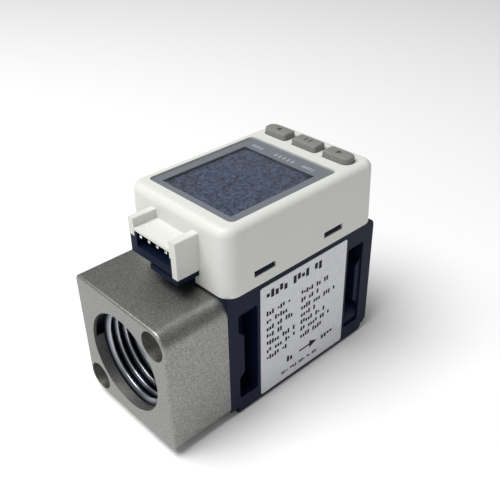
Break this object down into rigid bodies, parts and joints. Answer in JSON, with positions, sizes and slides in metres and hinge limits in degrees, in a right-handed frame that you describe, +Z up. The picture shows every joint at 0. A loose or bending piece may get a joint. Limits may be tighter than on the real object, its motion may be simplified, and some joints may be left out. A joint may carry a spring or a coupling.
{
  "type": "digital flow switch",
  "caption": "In-line flow switch: metal port block on a moulded flow body, with a display, keys and a pin connector on top.",
  "frame": {"origin": "centre of the inlet port on the port block's outer face", "axes": "+X along the flow, from the inlet port through the body, which is also the longest extent; +Z up towards the display; the label is on the -Y side"},
  "size_m": [0.0573, 0.0292, 0.0459],
  "materials": {
    "blasted_aluminium": "bead blasted",
    "screw_steel": "bright zinc",
    "insert_brass": "turned",
    "seal_rubber": "matte",
    "screen_steel": "woven",
    "navy_plastic": "moulded",
    "natural_plastic": "moulded",
    "label_film": "satin silver film",
    "circuit_board": "solder resist",
    "chip_epoxy": "matte",
    "pin_tin": "tin plated",
    "white_plastic": "fine moulded",
    "window_acrylic": "clear with a printed grey border",
    "panel_glass": "dark liquid crystal",
    "light_guide": "milky",
    "contact_rubber": "layered",
    "key_rubber": "matte grey",
    "switch_plastic": "moulded"
  },
  "bodies": {
    "switch": {"inlet_block": "blasted_aluminium", "inlet_screws": "screw_steel", "inlet_screw_inserts": "insert_brass", "inlet_seal": "seal_rubber", "inlet_screen": "screen_steel", "flow_straightener": "natural_plastic", "flow_body": "navy_plastic", "flow_restrictor": "natural_plastic", "outlet_screen": "screen_steel", "outlet_ring": "navy_plastic", "outlet_seal": "seal_rubber", "outlet_screw_inserts": "insert_brass", "rating_label": "label_film", "sensor_gasket": "seal_rubber", "sensor_carrier": "natural_plastic", "sensor_chip": "chip_epoxy", "sensor_board": "circuit_board", "sensor_screws": "screw_steel", "link_header": "switch_plastic", "link_pins": "pin_tin", "main_board": "circuit_board", "board_screws": "screw_steel", "connector_header": "navy_plastic", "display_housing": "white_plastic", "display_window": "window_acrylic", "lcd_panel": "panel_glass", "lcd_backlight": "light_guide", "lcd_contacts": "contact_rubber", "connector_pin_1": "pin_tin", "connector_pin_2": "pin_tin", "connector_pin_3": "pin_tin", "connector_pin_4": "pin_tin", "switch_base_up": "switch_plastic", "switch_base_set": "switch_plastic", "switch_base_down": "switch_plastic"},
    "key_up": {"key_up": "key_rubber", "switch_plunger_up": "switch_plastic"},
    "key_set": {"key_set": "key_rubber", "switch_plunger_set": "switch_plastic"},
    "key_down": {"key_down": "key_rubber", "switch_plunger_down": "switch_plastic"}
  },
  "joints": [
    {"name": "up_key_press", "type": "slide", "parent": "switch", "child": "key_up", "axis": [0, 0, -1], "range_m": [0, 0.0003], "stiffness_N_per_m": 1500, "springref_m": -0.0003},
    {"name": "set_key_press", "type": "slide", "parent": "switch", "child": "key_set", "axis": [0, 0, -1], "range_m": [0, 0.0003], "stiffness_N_per_m": 1500, "springref_m": -0.0003},
    {"name": "down_key_press", "type": "slide", "parent": "switch", "child": "key_down", "axis": [0, 0, -1], "range_m": [0, 0.0003], "stiffness_N_per_m": 1500, "springref_m": -0.0003}
  ]
}
